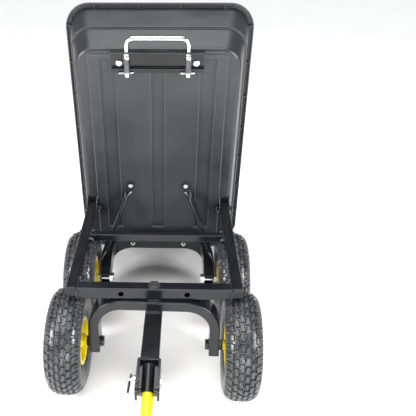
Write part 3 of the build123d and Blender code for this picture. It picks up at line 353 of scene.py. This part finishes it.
def tread_depth(phase, arc):
    """How deep the tread is cut, from 0 to 1, at a place within a pitch and across the tyre."""
    pitch = 2 * math.pi * TYRE_RADIUS / PITCHES
    reach = abs(arc)
    row = int(reach / ROW)
    shift = 0.5 * (row % 2) + (0.25 if arc < 0 else 0.0)
    place = (phase + shift) % 1 - 0.5
    if row >= ROWS:
        slant = (phase + 0.25 * (arc < 0) + LUG_SLANT * (reach - ROWS * ROW)) % 1 - 0.5
        across = trench(slant * pitch, 0.0026, 0.0016)
        sipe = SIPE_DEPTH * trench((abs(slant) - 0.5) * pitch, 0.0007) * (reach > SIPE_START)
        along = trench(reach - ROWS * ROW, 0.0011)
        depth = max(across, sipe, along)
    else:
        wave = EDGE_WAVE * math.sin(2 * math.pi * (phase + shift))
        rounded = BLOCK_ROUND * trench(place * pitch, 0.0016, 0.0024)
        edge = min(abs(reach + wave - line * ROW) for line in (row, row + 1))
        along = trench(edge, 0.0008 + rounded)
        across = trench(place * pitch, 0.0013)
        depth = max(along, across)
    fade = min(1.0, max(0.0, (LUG_END + LUG_FADE - reach) / LUG_FADE))
    return depth * fade


def wall_relief(arc):
    """Height of the rings moulded round the sidewall."""
    reach = abs(arc)
    return sum(height * trench(reach - place, half, RING_SLOPE) for place, half, height in SIDEWALL_RINGS)


def tyre_mesh():
    """A lathe of the tyre's section whose tread and sidewall rings are real relief."""
    outline = section_outline()
    count = len(outline)
    columns = PITCHES * STEPS
    points, faces = [], []
    for column in range(columns):
        turn = 2 * math.pi * column / columns
        for across, radius, arc in outline:
            lift = wall_relief(arc) - tread_depth(column / STEPS, arc) * GROOVE
            slope = Vector((across * CROWN_LEAN, radius - SECTION_RADIUS)).normalized()
            x = max(-HALF_WIDTH, min(HALF_WIDTH, across + slope.x * lift))
            r = radius + slope.y * lift
            points.append((x, r * math.cos(turn), r * math.sin(turn)))
        for across in (BEAD_SEAT, -BEAD_SEAT):
            points.append((across, CHAFER_RADIUS * math.cos(turn), CHAFER_RADIUS * math.sin(turn)))
    ring = count + 2
    for column in range(columns):
        here, there = column * ring, (column + 1) % columns * ring
        for index in range(ring):
            after = (index + 1) % ring
            faces.append((here + index, here + after, there + after, there + index))
    data = bpy.data.meshes.new("treaded_tyre")
    data.from_pydata(points, [], faces)
    data.update()
    data.shade_smooth()
    data.set_sharp_from_angle(angle=SHARP_EDGE)
    return data


def make_tyres():
    """A treaded tyre in the place of each plain packed one."""
    template = tyre_mesh()
    for index, wheel in enumerate(WHEELS):
        joint = joints[f"{wheel}_spin"]
        axis = Vector(joint["axis"]).normalized()
        turn = Vector((1, 0, 0)).rotation_difference(axis).to_matrix().to_4x4()
        spin = Matrix.Rotation(SPIN_STEP * index + SPIN_START, 4, "X")
        data = template.copy()
        data.transform(Matrix.Translation(joint["pos_m"]) @ turn @ spin)
        tyre = add_piece(f"{wheel}_tread_tyre", data, "tyre_rubber")
        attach(tyre, f"{wheel}_wheel")
        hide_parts(f"{wheel}_tyre")


# ---------------------------------------------------------------- weld beads

BEAD_SECTION = 0.0021       # radius of a bead
RIPPLE = 0.0022             # spacing of the ripples along it
RIPPLE_HEIGHT = 0.16
BEAD_STEP = 0.0005
BEAD_SIDES = 10
BEAD_TIP = 0.0001           # radius at the very ends of a bead
TONGUE_HALF = 0.017         # half the length of a bead across the tongue
TONGUE_TOP = 0.2485
TONGUE_ROOT = 0.0315        # forward of the king bolt
CLEVIS_ROOT = 0.1873
PLATE_INNER = 0.1793        # inner faces of the crossmembers' end plates
FRONT_TUBE_FACE = KING_Y - 0.0150
MID_TUBE_FACE = 0.3373
FRONT_CORNER = 0.003        # corner radii of the two tubes
MID_CORNER = 0.002
WELD_FOOT = 0.004           # where a plate's bead ends, from the corner's tangent point
WELD_HEAD = 0.002


def weld_bead(name, start, end, body):
    """A rippled bead of weld metal laid from one point to another, under the paint."""
    start, end = Vector(start), Vector(end)
    run = end - start
    along = run.normalized()
    aside = along.orthogonal().normalized()
    other = along.cross(aside)
    steps = round(run.length / BEAD_STEP)
    points, faces = [], []
    for step in range(steps + 1):
        travel = run.length * step / steps
        taper = min(1.0, math.sqrt(max(0.0, min(travel, run.length - travel)) / BEAD_SECTION))
        ripple = 1 + RIPPLE_HEIGHT * abs(math.sin(math.pi * travel / RIPPLE))
        radius = BEAD_SECTION * taper * ripple + BEAD_TIP
        for side in range(BEAD_SIDES):
            turn = 2 * math.pi * side / BEAD_SIDES
            points.append(start + along * travel + radius * (aside * math.cos(turn) + other * math.sin(turn)))
    for step in range(steps):
        for side in range(BEAD_SIDES):
            after = (side + 1) % BEAD_SIDES
            here, there = step * BEAD_SIDES, (step + 1) * BEAD_SIDES
            faces.append((here + side, here + after, there + after, there + side))
    faces.append(tuple(reversed(range(BEAD_SIDES))))
    faces.append(tuple(steps * BEAD_SIDES + side for side in range(BEAD_SIDES)))
    mesh = bpy.data.meshes.new(name)
    mesh.from_pydata(points, [], faces)
    mesh.update()
    mesh.shade_smooth()
    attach(add_piece(name, mesh, "black_powder_coat"), body)


def make_welds():
    """Beads at the tongue's root, across the clevis and down the ends of both crossmembers."""
    king = Vector(joints["steering"]["pos_m"])
    axle = Vector(joints["front_right_spin"]["axis"])
    steer = Matrix.Rotation(math.atan2(axle.y, abs(axle.x)), 3, "Z")
    for name, forward in (("tongue_root_weld", TONGUE_ROOT), ("clevis_weld", CLEVIS_ROOT)):
        ends = [king + steer @ Vector((side * TONGUE_HALF, -forward, 0)) for side in (-1, 1)]
        weld_bead(name, *[(end.x, end.y, TONGUE_TOP) for end in ends], "front_axle")
    members = (("front", FRONT_TUBE_FACE, FRONT_CORNER), ("mid", MID_TUBE_FACE, MID_CORNER))
    for member, face, corner in members:
        low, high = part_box(f"{member}_crossmember")
        bottom, top = low[2] + corner + WELD_FOOT, high[2] - corner - WELD_HEAD
        for label, side in (("left", -1), ("right", 1)):
            x = side * PLATE_INNER
            weld_bead(f"{member}_{label}_plate_weld", (x, face, bottom), (x, face, top), "frame")


# ---------------------------------------------------------------- stage

FLOOR_HALF = 12.0
FLOOR_DROP = 0.0005         # keeps the floor clear of the tyres
LIGHT_TARGET = (0, 0.15, 0.35)
WORLD_STRENGTH = 0.2
SUN_PLACE = (-0.3, -0.2, 3.0)
SUN_STRENGTH = 2.7
SUN_WIDTH = math.radians(50)
SOFTBOXES = (               # name, place, power, size
    ("left_box", (-1.9, -0.9, 1.3), 75, (0.6, 1.1)),
    ("right_box", (2.0, -0.9, 1.3), 75, (0.6, 1.1)),
    ("back_box", (0, 1.9, 2.4), 14, (1.8, 0.5)),
    ("low_box", (0.1, -1.5, 0.35), 14, (1.2, 0.3)),
)


def add_softbox(name, place, power, size):
    light = bpy.data.lights.new(name, "AREA")
    light.energy = power
    light.shape = "RECTANGLE"
    light.size, light.size_y = size
    aim_lamp(name, light, place)


def aim_lamp(name, light, place):
    lamp = bpy.data.objects.new(name, light)
    lamp.location = place
    direction = Vector(LIGHT_TARGET) - Vector(place)
    lamp.rotation_euler = direction.to_track_quat("-Z", "Y").to_euler()
    bpy.context.scene.collection.objects.link(lamp)


def make_stage():
    mesh = bpy.data.meshes.new("floor")
    corners = [(x, y, 0) for x, y in ((-1, -1), (1, -1), (1, 1), (-1, 1))]
    mesh.from_pydata([(FLOOR_HALF * x, FLOOR_HALF * y, z) for x, y, z in corners], [], [(0, 1, 2, 3)])
    mesh.materials.append(floor_finish())
    floor = bpy.data.objects.new("floor", mesh)
    floor.location.z = -FLOOR_DROP
    bpy.context.scene.collection.objects.link(floor)
    world = bpy.data.worlds.new("studio")
    world.use_nodes = True
    background = world.node_tree.nodes["Background"]
    background.inputs["Color"].default_value = (0.97, 0.985, 1, 1)
    background.inputs["Strength"].default_value = WORLD_STRENGTH
    bpy.context.scene.world = world
    sun = bpy.data.lights.new("overhead", "SUN")
    sun.energy = SUN_STRENGTH
    sun.angle = SUN_WIDTH
    aim_lamp("overhead", sun, SUN_PLACE)
    for softbox in SOFTBOXES:
        add_softbox(*softbox)
    bpy.context.scene.view_settings.view_transform = "Standard"


# Camera: where the photograph was taken from, in the cart's frame
REAR_AXLE_Y = joints["rear_left_spin"]["pos_m"][1]
SENSOR = 36.0
LENS = 51.6072115           # millimetres, on that sensor
CAMERA_PLACE = (0.0350, REAR_AXLE_Y - 1.4266, 1.1275)
CAMERA_PITCH = 0.4924
CAMERA_YAW = -0.0284
CAMERA_ROLL = -0.0031
SHIFT_X = 0.1274038         # share of the width, because the photograph is cropped on one side


def make_camera():
    data = bpy.data.cameras.new("camera")
    data.sensor_width = SENSOR
    data.lens = LENS
    data.shift_x = SHIFT_X
    data.clip_start = 0.05
    camera = bpy.data.objects.new("camera", data)
    turn = Matrix.Rotation(-CAMERA_YAW, 4, "Z")
    tilt = Matrix.Rotation(math.pi / 2 - CAMERA_PITCH, 4, "X")
    roll = Matrix.Rotation(CAMERA_ROLL, 4, "Z")
    camera.matrix_world = Matrix.Translation(CAMERA_PLACE) @ turn @ tilt @ roll
    bpy.context.scene.collection.objects.link(camera)
    bpy.context.scene.camera = camera


dress_frame()
make_tyres()
make_welds()
make_stage()
make_camera()
